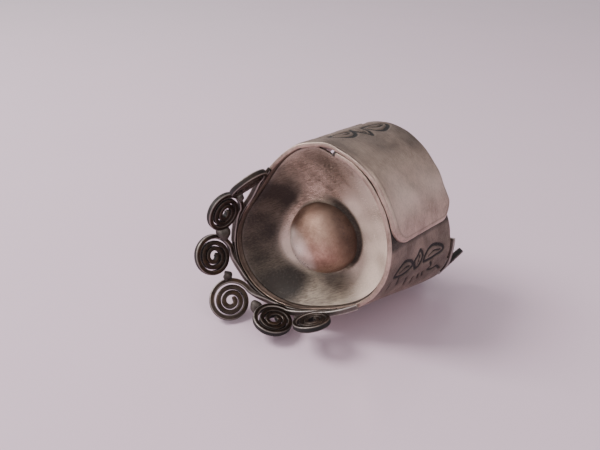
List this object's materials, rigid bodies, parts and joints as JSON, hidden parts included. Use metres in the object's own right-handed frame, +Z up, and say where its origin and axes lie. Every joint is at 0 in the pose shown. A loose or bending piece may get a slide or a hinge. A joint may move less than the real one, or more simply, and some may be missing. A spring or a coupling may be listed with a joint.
{
  "type": "thimble",
  "caption": "Hand-wrought silver thimble lying on its side: a lapped band with oxidised engraving, a dished top with a domed boss of red metal, and a fringe of wire scrolls at each end",
  "frame": {"origin": "centre of the bounding box's base, on the surface the thimble lies on", "axes": "+Z up as it lies on its side; the dished top faces -Y and 5 degrees up; the finger end opens towards +Y; the lap's free end is on the +X side"},
  "size_m": [0.02, 0.0188, 0.0181],
  "materials": {
    "silver_sheet": "brushed, oxidised in the hollows",
    "silver_dish": "brushed, grey-green patina low in the dish",
    "dome_metal": "tarnished red-brown",
    "wire": "rolled ribbon, dark in the gaps",
    "solder": "as cast"
  },
  "bodies": {
    "root": {"band_sheet": "silver_sheet", "dish_plate": "silver_dish", "top_dome": "dome_metal", "dish_solder": "solder", "near_rail": "wire", "far_rail": "wire", "near_scroll_1": "wire", "near_scroll_2": "wire", "near_scroll_3": "wire", "near_scroll_4": "wire", "near_scroll_5": "wire", "near_scroll_6": "wire", "far_scroll_1": "wire", "far_scroll_2": "wire", "far_scroll_3": "wire", "far_scroll_4": "wire", "far_scroll_5": "wire", "far_scroll_6": "wire", "near_bead_1": "solder", "near_bead_2": "solder", "near_bead_3": "solder", "near_bead_4": "solder", "near_bead_5": "solder", "far_bead_1": "solder", "far_bead_2": "solder", "far_bead_3": "solder", "far_bead_4": "solder", "far_bead_5": "solder"}
  },
  "joints": []
}
